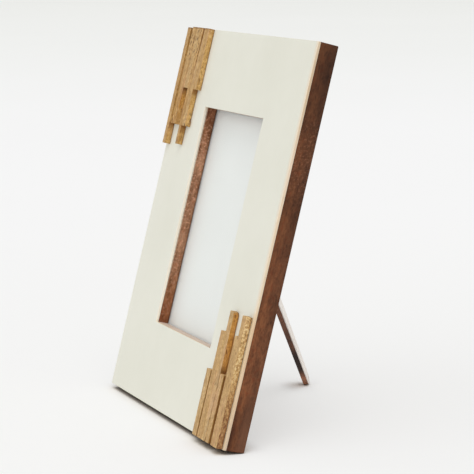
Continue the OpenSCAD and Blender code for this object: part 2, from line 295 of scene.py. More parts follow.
class Nodes:
    """A node tree that is built up by hand."""

    def __init__(self, tree):
        self.tree = tree

    def node(self, kind, inputs=None, **settings):
        made = self.tree.nodes.new("ShaderNode" + kind)
        for name, value in settings.items():
            setattr(made, name, value)
        for name, value in (inputs or {}).items():
            self.feed(made.inputs[name], value)
        return made

    def feed(self, socket, value):
        if isinstance(value, bpy.types.NodeSocket):
            self.tree.links.new(value, socket)
        else:
            socket.default_value = value

    def math(self, kind, first, second=0.0):
        made = self.node("Math", operation=kind)
        self.feed(made.inputs[0], first)
        self.feed(made.inputs[1], second)
        return made.outputs[0]

    def times(self, first, second):
        return self.math("MULTIPLY", first, second)

    def either(self, first, second):
        return self.math("MAXIMUM", first, second)

    def mix_shaders(self, share, first, second):
        """The first shader, with a share of the second over it."""
        made = self.node("MixShader", {"Fac": share})
        self.feed(made.inputs[1], first)
        self.feed(made.inputs[2], second)
        return made.outputs["Shader"]

    def seen_directly(self):
        """1 for the camera and for what it sees in gloss or through glass, else 0."""
        rays = self.node("LightPath").outputs
        camera_or_gloss = self.either(rays["Is Camera Ray"], rays["Is Glossy Ray"])
        return self.either(camera_or_gloss, rays["Is Transmission Ray"])


class Finish(Nodes):
    """A material, with patterns that keep to the place where its piece was modelled."""

    def __init__(self, name, **sockets):
        self.material = bpy.data.materials.new(name)
        self.material.use_nodes = True
        super().__init__(self.material.node_tree)
        self.shader = self.tree.nodes["Principled BSDF"]
        for socket, value in sockets.items():
            self.shader.inputs[socket.replace("_", " ")].default_value = value

    def place(self, home, stretch=(1, 1, 1)):
        """Object coordinates brought back to where the piece was modelled.

        A pattern is drawn out along an axis whose stretch is below 1, as grain is.
        """
        spot = self.node("TexCoord").outputs["Object"]
        back = home.inverted()
        own = self.node("Mapping", {
            "Vector": spot, "Rotation": back.to_euler(), "Location": back.translation,
        }).outputs["Vector"]
        return self.node("Mapping", {"Vector": own, "Scale": stretch}).outputs["Vector"]

    def along(self, home, axis, low, high):
        """How far a point lies along one of the piece's own axes, from low to high, as 0 to 1."""
        spot = self.node("SeparateXYZ", {"Vector": self.place(home)}).outputs[axis]
        return self.level(spot, low, high)

    def painted(self, name):
        """A value stored on the piece's points."""
        stored = self.node("Attribute", attribute_type="GEOMETRY", attribute_name=name)
        return stored.outputs["Fac"]

    def noise(self, place, scale, detail=3, roughness=0.5, distortion=0):
        """A cloudy pattern around 0.5; scale is about how many clouds there are to a metre."""
        return self.node("TexNoise", {
            "Vector": place, "Scale": scale, "Detail": detail,
            "Roughness": roughness, "Distortion": distortion,
        }).outputs["Fac"]

    def ramp(self, value, *stops):
        """A colour ramp; each stop is a position and a colour."""
        made = self.node("ValToRGB", {"Fac": value})
        elements = made.color_ramp.elements
        while len(elements) < len(stops):
            elements.new(0.5)
        for element, (position, colour) in zip(elements, stops):
            element.position = position
            element.color = colour
        return made.outputs["Color"]

    def level(self, value, low, high, out_low=0, out_high=1):
        """A value from low to high, spread evenly from out_low to out_high and held there."""
        made = self.node("MapRange", {
            "Value": value, "From Min": low, "From Max": high,
            "To Min": out_low, "To Max": out_high,
        })
        return made.outputs["Result"]

    def blend(self, share, first, second, mode="MIX"):
        """The first colour, with a share of the second over it."""
        made = self.node("Mix", data_type="RGBA", blend_type=mode)
        self.feed(made.inputs[MIX_SHARE], share)
        self.feed(made.inputs[MIX_FIRST], first)
        self.feed(made.inputs[MIX_SECOND], second)
        return made.outputs[MIX_RESULT]

    def tinted(self, colour, tint):
        """A colour multiplied by another, channel by channel."""
        return self.blend(1.0, colour, tint, "MULTIPLY")

    def bump(self, height, strength, distance):
        made = self.node("Bump", {
            "Height": height, "Strength": strength, "Distance": distance,
        })
        self.feed(self.shader.inputs["Normal"], made.outputs["Normal"])

    def colour(self, value):
        self.feed(self.shader.inputs["Base Color"], value)

    def rough(self, value):
        self.feed(self.shader.inputs["Roughness"], value)

    def show(self, shader):
        """Shows this shader in place of the material's own."""
        self.feed(self.tree.nodes["Material Output"].inputs["Surface"], shader)


def depth_stops(*stops):
    """Stops of a ramp that deepens a colour.

    Each is a place and how much of the colour stays there: one share for all of it, or one
    each for its red, green and blue.
    """
    for place, kept in stops:
        shares = kept if isinstance(kept, tuple) else (kept, kept, kept)
        yield place, tone(*(255 * share for share in shares))


def stained_wood(name, dark, mid, light, home, run, reach, depth, flecked, across=(), trim=None):
    """Matte stained wood: blotchy, with short streaks and rubbed flecks; run is its long axis.

    depth says how dark it is along the piece, flecked where it is rubbed through, and
    across how it deepens from the frame's front to its back. On the leg and in the window these
    hold painted shade and light. trim may add to the colour.
    """
    finish = Finish(name, Specular_IOR_Level=0.15)
    stretch = [1, 1, 1]
    stretch["XYZ".index(run)] = 0.3
    place = finish.place(home, stretch)
    blotches = finish.noise(place, scale=190, detail=5, roughness=0.68)
    fine = finish.noise(place, scale=900, detail=3, roughness=0.6)
    wide = finish.noise(finish.place(home), scale=22, detail=2)
    cloudy = finish.ramp(blotches, (0.36, dark), (0.5, mid), (0.66, light))
    grain = finish.ramp(fine, (0.38, dark), (0.62, light))
    stained = finish.blend(0.3, cloudy, grain)
    toned = finish.blend(finish.level(wide, 0.4, 0.65, 0, 0.4), stained, dark)
    reached = finish.along(home, run, 0, reach)
    deepened = finish.tinted(toned, finish.ramp(reached, *depth_stops(*depth)))
    if across:
        backwards = finish.along(home, "Y", -CORE_T, 0)
        deepened = finish.tinted(deepened, finish.ramp(backwards, *depth_stops(*across)))
    flecks = finish.noise(finish.place(home), scale=620, detail=3, roughness=0.7)
    rubbed = finish.ramp(reached, *depth_stops(*flecked))
    fleck_mask = finish.times(finish.level(flecks, 0.52, 0.62), rubbed)
    colour = finish.blend(fleck_mask, deepened, dusty(light))
    mottle = finish.noise(finish.place(home, (1, 1, 0.7)), scale=480, detail=2, roughness=0.5)
    redder = finish.tinted(colour, tone(255, 214, 196))
    reddened = finish.blend(finish.level(mottle, 0.55, 0.68, 0, 0.5), colour, redder)
    darker = finish.tinted(colour, tone(196, 186, 186))
    mottled = finish.blend(finish.level(mottle, 0.46, 0.34, 0, 0.5), reddened, darker)
    finish.colour(trim(finish, mottled) if trim else mottled)
    finish.rough(finish.level(blotches, 0.3, 0.7, 0.45, 0.62))
    finish.bump(fine, 0.3, 0.3 * MM)
    return finish.material


def side_painted_shading(finish, colour):
    """Painted shade low at the front beside the panel, and a painted lighter band low behind it."""
    low = finish.along(STAND, "Z", 44 * MM, 12 * MM)
    front = finish.along(STAND, "Y", 3.2 * MM - CORE_T, 1.2 * MM - CORE_T)
    back = finish.along(STAND, "Y", -8 * MM, -4 * MM)
    # painted shade, low down at the front beside the panel
    darker = finish.tinted(colour, tone(196, 188, 190))
    low_front_shaded = finish.blend(finish.times(low, front), colour, darker)
    # painted light: the paler band low down towards the back
    rubbed = finish.times(finish.times(low, back), 0.45)
    return finish.blend(rubbed, low_front_shaded, tone(136, 92, 68))


def window_overspill_and_shade(finish, colour):
    """Paint that ran a hair over the wall's front, and a painted shade line where it meets the
    glass.
    """
    # painted shade: a dark line at the wall's back, by the glass
    seam_shade_mask = finish.along(STAND, "Y", -REBATE_T - 1.2 * MM, -REBATE_T - 0.3 * MM)
    seam_shaded = finish.blend(finish.times(seam_shade_mask, 0.8), colour, tone(86, 58, 42))
    run_over = finish.along(STAND, "Y", 0.5 * MM - CORE_T, 0.2 * MM - CORE_T)
    upper = finish.along(STAND, "Z", 68 * MM, 96 * MM)
    return finish.blend(finish.times(run_over, upper), seam_shaded, tone(236, 216, 190))


def worn_foot(finish, colour):
    """Stain showing where the leg's pale layer is worn through at its round foot."""
    foot = finish.along(LEG, "Y", LEG_REACH - 3.2 * MM, LEG_REACH - 2 * MM)
    return finish.blend(foot, colour, tone(128, 88, 66))


def worn_margin(finish, colour):
    """Paint that thins and yellows towards the panel's right edge, most beside the lower strips."""
    near = finish.along(STAND, "X", FRAME_W / 2 - 3.4 * MM, FRAME_W / 2 - 0.4 * MM)
    thinned = finish.blend(finish.times(near, 0.6), colour, tone(236, 214, 184))
    close = finish.along(STAND, "X", FRAME_W / 2 - 2.4 * MM, FRAME_W / 2 - 1.6 * MM)
    low = finish.along(STAND, "Z", 87 * MM, 81 * MM)
    yellowed = finish.blend(finish.times(close, low), thinned, tone(224, 200, 164))
    return browned_gap(finish, yellowed)


def browned_gap(finish, colour):
    """The panel's narrow brown edge beside lower strip 3, up to the height of strip 5's top."""
    past_left = finish.along(STAND, "X", 79.4 * MM, 80 * MM)
    past_right = finish.along(STAND, "X", 82.6 * MM, 81.6 * MM)
    below_top = finish.along(STAND, "Z", 68.5 * MM, 66 * MM)
    across = finish.times(past_left, past_right)
    return finish.blend(finish.times(across, below_top), colour, tone(190, 146, 90))


def dusty(colour):
    """A colour moved towards a dusty pink, for rubbed places."""
    return tuple(own + (other - own) * DUST_SHARE for own, other in zip(colour, DUST))


def painted_wood(name, base, shade, tint, home, trim=None):
    """Matte paint over wood: almost even, with faint clouds, brush grain and a few scuffs."""
    finish = Finish(name)
    clouds = finish.noise(finish.place(home), scale=18, detail=3)
    brushed = finish.noise(finish.place(home, (1, 1, 0.15)), scale=500, detail=3)
    even = finish.ramp(clouds, (0.3, shade), (0.6, base))
    grained_paint = finish.blend(finish.level(brushed, 0.3, 0.8, 0, 0.3), even, tint)
    scuffs = finish.noise(finish.place(home, (1, 1, 0.6)), scale=240, detail=5, roughness=0.7)
    where = finish.noise(finish.place(home), scale=14, detail=1)
    scuffed = finish.times(finish.level(scuffs, 0.66, 0.74), finish.level(where, 0.55, 0.65))
    colour = finish.blend(finish.times(scuffed, 0.35), grained_paint, shade)
    finish.colour(trim(finish, colour) if trim else colour)
    finish.rough(finish.level(brushed, 0.3, 0.7, 0.5, 0.62))
    finish.bump(brushed, 0.12, 0.2 * MM)
    return finish.material


def bare_edge(name, *stops):
    """The panel's bare edge, in fine layers; the stops are its colours up the frame's height."""
    finish = Finish(name)
    layers = finish.noise(finish.place(STAND, (1, 1, 0.08)), scale=420, detail=3)
    flecks = finish.noise(finish.place(STAND, (1, 1, 0.5)), scale=300, detail=4, roughness=0.7)
    aged = finish.ramp(finish.along(STAND, "Z", 0, FRAME_H), *stops)
    layered = finish.blend(finish.level(layers, 0.35, 0.75, 0, 0.35), aged, tone(240, 230, 214))
    fleck_mask = finish.level(flecks, 0.58, 0.72, 0, 0.4)
    finish.colour(finish.blend(fleck_mask, layered, tone(186, 150, 116)))
    finish.rough(finish.level(layers, 0.3, 0.7, 0.55, 0.7))
    finish.bump(layers, 0.25, 0.2 * MM)
    return finish.material


def bare_wood(name, deep, base, pale, speck, joint, rough_cut=False, trim=None):
    """Bare sawn wood: sandy grain, soft bands, dark pores and pink patches.

    A strip's points say how warm its wood is, how torn and how deep in shade; joint is the
    colour of that shade. trim may add to the colour.
    """
    finish = Finish(name)
    bands = finish.noise(finish.place(STAND, (1, 1, 0.1)), scale=260, detail=3, roughness=0.55)
    sand = finish.noise(finish.place(STAND, (1, 1, 0.6)), scale=700, detail=4, roughness=0.8)
    patches = finish.noise(finish.place(STAND, (1, 1, 0.4)), scale=130, detail=3)
    banded = finish.ramp(bands, (0.3, deep), (0.5, base), (0.72, pale))
    sandy = finish.ramp(sand, (0.38, deep), (0.51, base), (0.63, pale))
    mixed = finish.blend(0.74, banded, sandy)
    toned = finish.blend(finish.level(patches, 0.52, 0.72, 0, 0.4), mixed, deep)
    blushed = finish.blend(finish.level(patches, 0.46, 0.34, 0, 0.3), toned, tone(206, 158, 124))
    pores = finish.noise(finish.place(STAND, (1, 1, 0.35)), scale=560, detail=2, roughness=0.6)
    pore_mask = finish.level(pores, 0.62, 0.7)
    colour = finish.blend(finish.times(pore_mask, 0.75), blushed, speck)
    colour = finish.blend(finish.painted("warmth"), colour, finish.tinted(colour, WARMER))
    if trim:
        colour = trim(finish, colour)
    colour = torn_grain(finish, colour, finish.painted("torn"))
    finish.colour(finish.blend(finish.times(finish.painted("shade"), 0.9), colour, joint))
    finish.rough(finish.level(sand, 0.3, 0.7, 0.62, 0.82))
    height = finish.math("SUBTRACT", sand, pore_mask)
    finish.bump(height, 0.6 if rough_cut else 0.35, 0.4 * MM)
    return finish.material


def torn_grain(finish, colour, amount):
    """Dark pits and pale lifted fibres where the wood is torn."""
    tears = finish.noise(finish.place(STAND, (1, 1, 0.8)), scale=440, detail=2, roughness=0.5)
    fibres = finish.times(finish.level(tears, 0.56, 0.64, 0, 0.6), amount)
    raised = finish.blend(fibres, colour, tone(228, 192, 132))
    pits = finish.times(finish.level(tears, 0.42, 0.36), amount)
    return finish.blend(pits, raised, tone(104, 72, 34))


def tan_low_end(finish, colour):
    """The upper orange side fades to tan towards its low end; the lower one stays orange."""
    end = finish.along(STAND, "Z", 200 * MM, 190 * MM)
    upper = finish.along(STAND, "Z", 120 * MM, 150 * MM)
    return finish.blend(finish.times(end, upper), colour, tone(186, 142, 82))


def chipped_face(finish, colour):
    """Pale chips and dark pits on the strip's upper half, reddish scorch on its lower half."""
    upper = finish.along(STAND, "Z", 34 * MM, 50 * MM)
    chips = finish.noise(finish.place(STAND, (1, 1, 0.8)), scale=760, detail=3, roughness=0.7)
    chip_mask = finish.times(finish.level(chips, 0.5, 0.58), upper)
    chipped = finish.blend(finish.times(chip_mask, 0.8), colour, tone(244, 218, 162))
    pit_mask = finish.times(finish.level(chips, 0.44, 0.38), upper)
    pitted = finish.blend(finish.times(pit_mask, 0.75), chipped, tone(128, 90, 40))
    lower = finish.along(STAND, "Z", 44 * MM, 6 * MM)
    scorched = finish.blend(finish.times(lower, 0.75), pitted, tone(138, 90, 48))
    scorch = finish.noise(finish.place(STAND, (1, 1, 0.6)), scale=760, detail=3, roughness=0.75)
    below = finish.along(STAND, "Z", 50 * MM, 26 * MM)
    dark_spots = finish.times(finish.level(scorch, 0.5, 0.58, 0, 0.8), below)
    spotted = finish.blend(dark_spots, scorched, tone(116, 68, 36))
    pale_spots = finish.times(finish.level(scorch, 0.44, 0.38, 0, 0.7), below)
    return finish.blend(pale_spots, spotted, tone(212, 166, 112))


def metal(name, base, shade, roughness):
    """Rolled metal with cloudy tarnish and fine scratches."""
    finish = Finish(name, Metallic=1.0)
    tarnish = finish.noise(finish.place(STAND), scale=220, detail=4, roughness=0.6)
    scratches = finish.noise(finish.place(LEG, (1, 0.05, 1)), scale=2500, detail=2)
    finish.colour(finish.ramp(tarnish, (0.35, shade), (0.6, base)))
    finish.rough(finish.level(tarnish, 0.3, 0.7, roughness + 0.15, roughness))
    finish.bump(scratches, 0.15, 0.05 * MM)
    return finish.material


def pressed_board(name):
    """Pressed wood fibre: brown, with short pale fibres lying every way."""
    finish = Finish(name)
    fibre = {"scale": 900, "detail": 5, "roughness": 0.7, "distortion": 2}
    upright = finish.noise(finish.place(STAND, (1, 1, 0.3)), **fibre)
    crossing = finish.noise(finish.place(STAND, (0.3, 1, 1)), **fibre)
    patches = finish.noise(finish.place(STAND), scale=40, detail=3)
    dark, mid, pale = tone(92, 66, 44), tone(126, 92, 62), tone(160, 124, 86)
    lengthwise = finish.ramp(upright, (0.35, dark), (0.5, mid), (0.72, pale))
    crosswise = finish.ramp(crossing, (0.35, dark), (0.55, mid), (0.75, pale))
    finish.colour(finish.blend(patches, lengthwise, crosswise))
    finish.rough(finish.level(upright, 0.3, 0.7, 0.55, 0.75))
    finish.bump(upright, 0.3, 0.2 * MM)
    return finish.material


def smooth_card(name):
    """Smooth white card with a very fine tooth."""
    finish = Finish(name)
    tooth = finish.noise(finish.place(STAND), scale=1800, detail=3)
    clouds = finish.noise(finish.place(STAND), scale=22, detail=2)
    finish.colour(finish.ramp(clouds, (0.3, tone(241, 242, 241)), (0.7, tone(245, 246, 245))))
    finish.rough(finish.level(tooth, 0.3, 0.7, 0.7, 0.85))
    finish.bump(tooth, 0.1, 0.1 * MM)
    return finish.material


def clear_glass(name):
    """Flat low-sheen glass.

    It bends what is seen through it, shows a soft sheen at a slant, and lets lamp light
    through to the card behind.
    """
    finish = Finish(name, Base_Color=(0.9, 0.92, 0.92, 1), Metallic=1.0)
    smears = finish.noise(finish.place(STAND, (1, 1, 0.4)), scale=35, detail=4, roughness=0.6)
    finish.rough(finish.level(smears, 0.4, 0.7, 0.3, 0.33))
    facing = finish.node("LayerWeight", {"Blend": 0.5}).outputs["Facing"]
    slant = finish.math("ADD", finish.times(finish.math("POWER", facing, 5.0), 0.5), 0.02)
    tint = (0.99, 0.995, 0.99, 1)
    bent = finish.node("BsdfRefraction", {"Color": tint, "Roughness": 0, "IOR": 1.5})
    clear = finish.node("BsdfTransparent", {"Color": tint})
    sheen = finish.shader.outputs["BSDF"]
    pane = finish.mix_shaders(slant, bent.outputs["BSDF"], sheen)
    rays = finish.node("LightPath").outputs
    from_lamps = finish.either(rays["Is Shadow Ray"], rays["Is Diffuse Ray"])
    finish.show(finish.mix_shaders(from_lamps, pane, clear.outputs["BSDF"]))
    return finish.material


LEG_REACH = max((LEG.inverted() @ v.co).y for v in frame["nodes"]["leg_core"].data.vertices)
BROWN = stained_wood(
    "brown stain", tone(98, 58, 36), tone(132, 81, 51), tone(160, 101, 64),
    STAND, "Z", FRAME_H,
    depth=((0.0, 0.8), (0.08, 0.8), (0.14, 0.95), (0.24, 1.0), (0.31, 0.92), (0.4, 0.96),
           (0.47, 1.0), (0.55, 0.84), (0.61, 0.74), (0.68, 0.86), (0.74, 0.82), (0.8, 0.7),
           (0.95, 0.7)),
    flecked=((0.6, 0.05), (0.66, 0.5), (0.78, 0.5), (0.84, 0.05)),
    across=((0.3, 1.0), (0.8, (0.86, 0.89, 0.94))), trim=side_painted_shading)
# Painted shade on the window's walls: near its top and bottom, at their front and towards the glass
BROWN_INSIDE_SHADED = stained_wood(
    "brown stain in the window with painted shade", tone(122, 82, 57), tone(175, 125, 92), tone(220, 169, 133),
    STAND, "Z", FRAME_H,
    depth=((0.22, (0.91, 0.79, 0.69)), (0.3, (0.94, 0.87, 0.8)), (0.38, 0.94), (0.5, 0.95),
           (0.58, 1.0), (0.66, 0.96), (0.72, (0.79, 0.72, 0.65)), (0.79, (0.88, 0.8, 0.74))),
    flecked=((0.22, 0.4), (0.4, 0.8), (0.7, 0.9), (0.8, 0.5)),
    across=((0.0, 0.88), (0.12, 0.92), (0.25, 1.0), (0.36, 1.0), (0.48, 0.93), (0.6, 0.8)),
    trim=window_overspill_and_shade)
# Painted shade darkens the leg almost to black from 0.75 to 0.87 of its length; painted light above
# the foot
LEG_BROWN_SHADED = stained_wood(
    "brown stain of the leg with painted shade and light", tone(145, 99, 76), tone(195, 135, 105), tone(232, 165, 130),
    LEG, "Y", LEG_REACH,
    depth=((0.3, 0.7), (0.5, 0.73), (0.6, 0.58), (0.69, 0.6), (0.755, (0.27, 0.3, 0.32)),
           (0.87, (0.33, 0.36, 0.38)), (0.94, 0.96), (1.0, 0.72)),
    flecked=((0.4, 0.3), (0.6, 0.2), (0.86, 0.0), (0.95, 0.4)))
CREAM = painted_wood(
    "cream paint", tone(231, 230, 217), tone(226, 225, 211), tone(236, 235, 223),
    STAND, worn_margin)
CREAM_LIP = painted_wood(
    "cream paint over the window's edge", tone(246, 238, 220), tone(238, 226, 204),
    tone(248, 242, 228), STAND)
CREAM_EDGE = bare_edge(
    "bare edge of the panel",
    (0.0, tone(208, 182, 152)), (0.1, tone(222, 189, 150)), (0.3, tone(227, 194, 156)),
    (0.36, tone(234, 214, 182)), (0.7, tone(233, 207, 178)), (0.85, tone(214, 188, 154)))
SILL = painted_wood(
    "pale sill", tone(216, 196, 180), tone(200, 176, 158), tone(228, 212, 198), STAND)
LEG_PALE = painted_wood(
    "pale layer of the leg", tone(255, 247, 238), tone(249, 237, 227), tone(255, 250, 244),
    LEG, worn_foot)
TAN_FRONT = bare_wood(
    "tan sanded wood", tone(164, 127, 76), tone(195, 159, 106), tone(222, 191, 140),
    speck=tone(134, 94, 54), joint=tone(132, 90, 44))
TAN_CUT = bare_wood(
    "golden sawn side", tone(160, 116, 56), tone(205, 161, 92), tone(232, 198, 132),
    speck=tone(124, 82, 38), joint=tone(128, 76, 10), rough_cut=True)
TAN_ORANGE = bare_wood(
    "orange sawn side", tone(157, 105, 41), tone(204, 149, 70), tone(226, 178, 98),
    speck=tone(112, 70, 26), joint=tone(98, 60, 22), rough_cut=True, trim=tan_low_end)
TAN_CHIPPED = bare_wood(
    "chipped side", tone(160, 114, 58), tone(202, 158, 96), tone(226, 190, 128),
    speck=tone(120, 80, 40), joint=tone(104, 64, 28), rough_cut=True, trim=chipped_face)
BRASS = metal("brass", tone(205, 172, 108), tone(168, 132, 76), roughness=0.3)
STEEL = metal("steel", tone(185, 186, 188), tone(140, 141, 144), roughness=0.28)
BOARD = pressed_board("pressed board")
CARD = smooth_card("white card")
GLASS = clear_glass("clear glass")


# The frame


def window_sheet(name, at):
    """A flat sheet of the frame's outline, with the window taken out.

    It is cut along the rebate's lines too, so that the rebate can be left open.
    """
    deselect()
    bpy.ops.mesh.primitive_plane_add(
        size=1, location=(0, at, FRAME_H / 2), rotation=(pi / 2, 0, 0))
    piece = bpy.context.object
    piece.name = name
    piece.scale = (FRAME_W, FRAME_H, 1)
    bpy.ops.object.transform_apply(location=True, rotation=True, scale=True)
    edit(piece)
    for side in (-1, 1):
        for half in (WINDOW_W / 2, WINDOW_W / 2 + LIP_W):
            bpy.ops.mesh.select_all(action="SELECT")
            bpy.ops.mesh.bisect(plane_co=(side * half, 0, 0), plane_no=(1, 0, 0))
    top = WINDOW_UP + WINDOW_H
    for height in (WINDOW_UP - LIP_W, WINDOW_UP, top, top + LIP_W):
        bpy.ops.mesh.select_all(action="SELECT")
        bpy.ops.mesh.bisect(plane_co=(0, 0, height), plane_no=(0, 0, 1))
    pick("FACE", lambda face: in_window(middle(face), 0))
    bpy.ops.mesh.delete(type="FACE")
    return piece


def in_window(spot, margin):
    """True inside the window's outline, widened by a margin on each side."""
    across = abs(spot.x) < WINDOW_W / 2 + margin
    return across and WINDOW_UP - margin < spot.z < WINDOW_UP + WINDOW_H + margin


def push_back(depth):
    """In edit mode, extrudes the selected faces towards the frame's back."""
    bpy.ops.mesh.extrude_region_move(TRANSFORM_OT_translate={"value": (0, depth, 0)})


def close_up():
    """In edit mode, merges doubles and turns every face outwards."""
    weld()
    bpy.ops.mesh.normals_make_consistent(inside=False)


def round_outer_corners():
    """In edit mode, rounds the frame's four outer corners, and leaves edit mode."""
    def at_corner(edge):
        spot = middle_of(edge)
        at_side = abs(spot.x) > FRAME_W / 2 - 0.1 * MM
        at_end = abs(spot.z - FRAME_H / 2) > FRAME_H / 2 - 0.1 * MM
        return runs_along(Y)(edge) and at_side and at_end
    pick("EDGE", at_corner)
    bpy.ops.mesh.bevel(offset=OUTER_CORNER, segments=3, affect="EDGES")
    deselect()


def make_core():
    """The body: pushed back as far as the rebate, and around the rebate on to the back face."""
    piece = window_sheet("core_wood", -CORE_T)
    bpy.ops.mesh.select_all(action="SELECT")
    push_back(CORE_T - REBATE_T)
    pick("FACE", lambda face: abs(middle(face).y + REBATE_T) < 0.01 * MM
         and abs(face.normal.y) > 0.9 and not in_window(middle(face), LIP_W))
    push_back(REBATE_T)
    close_up()
    round_outer_corners()
    soften(piece, CORE_EDGE, segments=2)
    outside, wall, sill = range(3)
    set_slots(piece, (BROWN, BROWN_INSIDE_SHADED, SILL), lambda normal: outside)
    for face in piece.data.polygons:
        if in_window(face.center, WINDOW_RIM) and abs(face.normal.y) < 0.9:
            face.material_index = sill if face.normal.z > 0.6 else wall
    settle(piece, STAND)
    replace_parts(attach(piece, "frame"), "core")


def make_panel():
    """The thin face board: painted in front and over the window's left edge, bare elsewhere."""
    piece = window_sheet("cream_panel", -FRAME_T)
    bpy.ops.mesh.select_all(action="SELECT")
    push_back(PANEL_T)
    close_up()
    round_outer_corners()
    soften(piece, PANEL_EDGE, segments=4)
    front, edge, lip = range(3)
    set_slots(
        piece, (CREAM, CREAM_EDGE, CREAM_LIP),
        lambda normal: front if abs(normal.y) > 0.5 else edge)
    for face in piece.data.polygons:
        if face.normal.x > 0.5 and in_window(face.center, WINDOW_RIM):
            face.material_index = lip
    settle(piece, STAND)
    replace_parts(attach(piece, "frame"), "panel")


# The strips


class Strip:
    """One glued strip: its place on the panel, its sizes and the wood of its sawn side."""

    def __init__(self, node, left, width, low, high, height, side):
        """The numbers are in mm; height is how far the strip stands out from the panel."""
        self.node = node
        self.left = left * MM
        self.right = (left + width) * MM
        self.low = low * MM
        self.high = high * MM
        self.height = height * MM
        self.side = side


def lay_out_strips():
    top = FRAME_H / MM
    # left side, width, length, drop below the top edge, how far it stands out, wood of the side
    upper = (
        (-100.0, 5.8, 81.8, 0.7, 4.2, "golden"),
        (-91.8, 7.6, 68.0, 0.0, 4.0, "orange"),
        (-84.2, 7.4, 42.4, 0.0, 4.0, "golden"),
        (-76.6, 4.2, 81.0, 0.0, 4.0, "golden"),
        (-72.4, 6.1, 68.0, 0.0, 4.0, "golden"),
        (-66.3, 5.2, 42.4, 0.0, 4.0, "golden"),
    )
    for number, (left, width, length, drop, height, side) in enumerate(upper, 1):
        high = top - drop
        yield Strip("upper_strip_%d" % number, left, width, high - length, high, height, side)
    # left side, width, length, how far it stands out, wood of the side
    lower = (
        (58.9, 6.6, 42.8, 4.0, "golden"),
        (66.8, 7.3, 68.6, 4.0, "golden"),
        (74.1, 6.1, 82.4, 4.0, "orange"),
        (80.2, 5.5, 43.4, 4.0, "golden"),
        (88.9, 4.9, 69.2, 4.0, "golden"),
        (93.8, 6.1, 82.7, 4.5, "chipped"),
    )
    for number, (left, width, length, height, side) in enumerate(lower, 1):
        yield Strip("lower_strip_%d" % number, left, width, 0, length, height, side)


STRIPS = list(lay_out_strips())
SIDE_WOODS = {"golden": TAN_CUT, "orange": TAN_ORANGE, "chipped": TAN_CHIPPED}
SLICES = ((Z, 1.6 * MM), (X, 1.2 * MM), (Y, 1.0 * MM))
HOLLOW_WIDTH = 2.6 * MM
HOLLOW_DEPTH = 0.3 * MM
CHIPPED_DEPTH = 0.5 * MM

# Points this near a strip's side or front belong to that side or front
SIDE_SKIN = 0.3 * MM
FRONT_SKIN = 0.6 * MM

# How dark the painted shade in each open joint is. One more is pale, and darkens from TOP_START up
# to TOP_FULL
OPEN_JOINTS = {
    ("upper_strip_4", "upper_strip_5"): 1.0,
    ("lower_strip_1", "lower_strip_2"): 0.85,
    ("lower_strip_4", "lower_strip_5"): 0.95,
}
PALE_JOINT = ("upper_strip_1", "upper_strip_2")
PALE_JOINT_SHADE, PALE_JOINT_TOP_SHADE = 0.05, 0.7
TOP_START, TOP_FULL = 240 * MM, 248 * MM

# The other shades on a strip: at its foot on the panel, on its top end and past a neighbour's end
FOOT_SHADE, FOOT_REACH = 0.95, 1.1 * MM
TOP_SHADE, TOP_REACH = 0.8, 0.8 * MM
END_SHADE, END_REACH = 0.95, 6 * MM

# How warm the strips' wood is; two more strips change along their length, as warmth says
FRONT_WARMTH = {
    "upper_strip_1": 0.45, "upper_strip_3": 0.1, "upper_strip_4": 0.6, "upper_strip_5": 0.2,
    "upper_strip_6": 0.35, "lower_strip_2": 0.3, "lower_strip_4": 0.1, "lower_strip_6": 0.25,
}
SIDE_WARMTH = {"lower_strip_3": 0.5}

# Torn grain: how torn, and how far from the end it starts and is at its most
TORN_TOPS = {
    node: (0.8, 26 * MM, 20 * MM) for node in ("upper_strip_2", "upper_strip_3", "upper_strip_4")}
TORN_LOW_ENDS = {"upper_strip_2": (0.8, 15 * MM, 10 * MM), "upper_strip_5": (1.0, 12 * MM, 6 * MM)}


def part_way(place, start, full):
    """How far a place lies on the way from start to full, as 0 to 1."""
    return min(1.0, max(0.0, (place - start) / (full - start)))


def side_by_side(gap):
    """True for a sideways gap that two neighbours can have, from a hair of overlap up."""
    return -0.2 * MM < gap < 4 * MM


def joint_shade(strip, other, spot):
    """How dark the painted shade in the joint between two strips is: 0 where they are glued close.
    """
    pair = tuple(sorted((strip.node, other.node)))
    if pair == PALE_JOINT:
        near_top = part_way(spot.z, TOP_START, TOP_FULL)
        return PALE_JOINT_SHADE + (PALE_JOINT_TOP_SHADE - PALE_JOINT_SHADE) * near_top
    return OPEN_JOINTS.get(pair, 0.0)


def gap_shade(strip, spot):
    """How deep a point of a strip lies in shade, 0 to 1.

    Shade lies at the strip's foot on the panel, on an upper strip's top end, in an open joint
    and past a shorter neighbour's end.
    """
    rise = -FRAME_T - spot.y
    shade = FOOT_SHADE * part_way(rise, FOOT_REACH, 0)
    if strip.high > FRAME_H / 2 and spot.z > strip.high - TOP_REACH:
        shade = max(shade, TOP_SHADE)
    for other in STRIPS:
        on_right = side_by_side(other.left - strip.right) and spot.x > strip.right - SIDE_SKIN
        on_left = side_by_side(strip.left - other.right) and spot.x < strip.left + SIDE_SKIN
        if other is strip or not (on_right or on_left):
            continue
        beyond = max(other.low - spot.z, spot.z - other.high)
        if beyond < SIDE_SKIN:
            # Full 1 mm below the neighbour's face, and gone just above it
            covered = part_way(rise, other.height + 0.2 * MM, other.height - MM)
            shade = max(shade, min(joint_shade(strip, other, spot), covered))
        if on_right and -SIDE_SKIN < beyond < END_REACH:
            shade = max(shade, END_SHADE * part_way(beyond, END_REACH, 0))
    return shade


def warmth(strip, spot):
    """How much warmer a point's wood is than the palest strip's."""
    if spot.y > FRONT_SKIN - FRAME_T - strip.height:
        return SIDE_WARMTH.get(strip.node, 0.0)
    if strip.node == "upper_strip_2":
        return 0.5 + 0.5 * part_way(spot.z, strip.low + 30 * MM, strip.low + 14 * MM)
    if strip.node == "lower_strip_5":
        return 0.3 if spot.z < 44 * MM else 0.0
    return FRONT_WARMTH.get(strip.node, 0.0)


